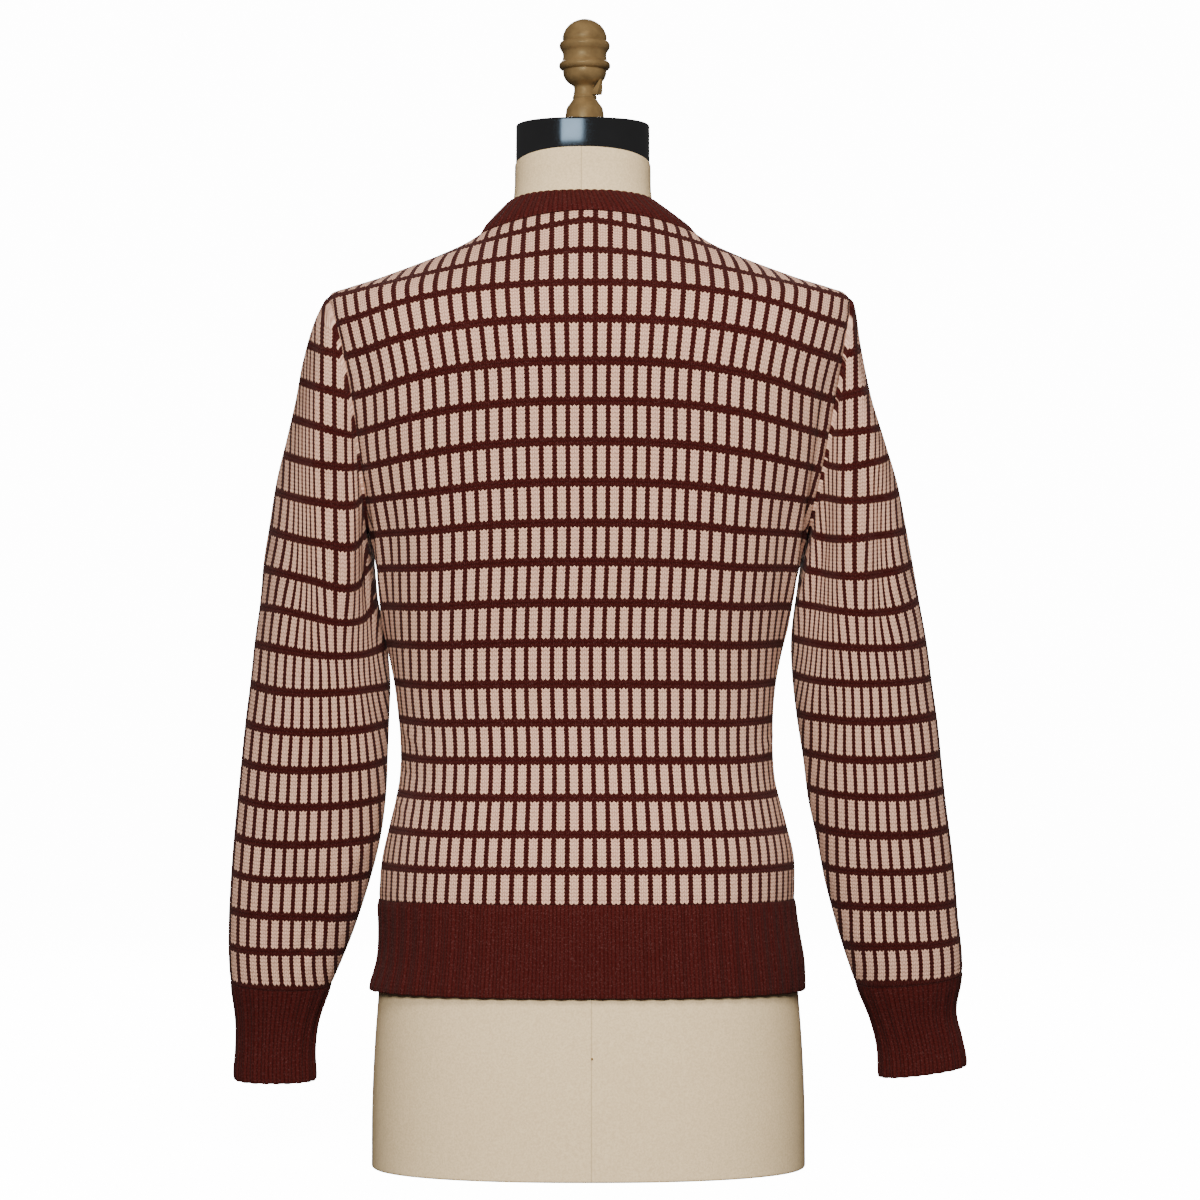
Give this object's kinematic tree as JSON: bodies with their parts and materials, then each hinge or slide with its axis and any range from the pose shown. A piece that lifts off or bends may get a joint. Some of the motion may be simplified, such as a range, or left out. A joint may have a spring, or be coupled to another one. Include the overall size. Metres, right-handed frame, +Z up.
{
  "type": "crewneck sweater on dress form",
  "caption": "Long-sleeved crewneck sweater in a two-colour geometric knit with ribbed hem, cuffs and neckband, worn by a limbless canvas dress form.",
  "frame": {"origin": "middle of the dress form's flat base", "axes": "+Z up; -Y is the wearer's front; +X is the wearer's left"},
  "size_m": [0.5908, 0.2672, 0.8964],
  "materials": {
    "knit": "cream wool knit with burgundy geometric repeat, soft nap",
    "rib": "burgundy ribbed wool knit",
    "canvas": "plain woven canvas",
    "chrome": "bright plated metal",
    "brass": "aged, dull"
  },
  "bodies": {
    "root": {"back": "knit", "front": "knit", "sleeve_left": "knit", "sleeve_right": "knit", "hem_rib": "rib", "cuff_left": "rib", "cuff_right": "rib", "neckband": "rib", "dress_form": "canvas", "neck_cap": "chrome", "knob": "brass", "catch": "brass"}
  },
  "joints": []
}
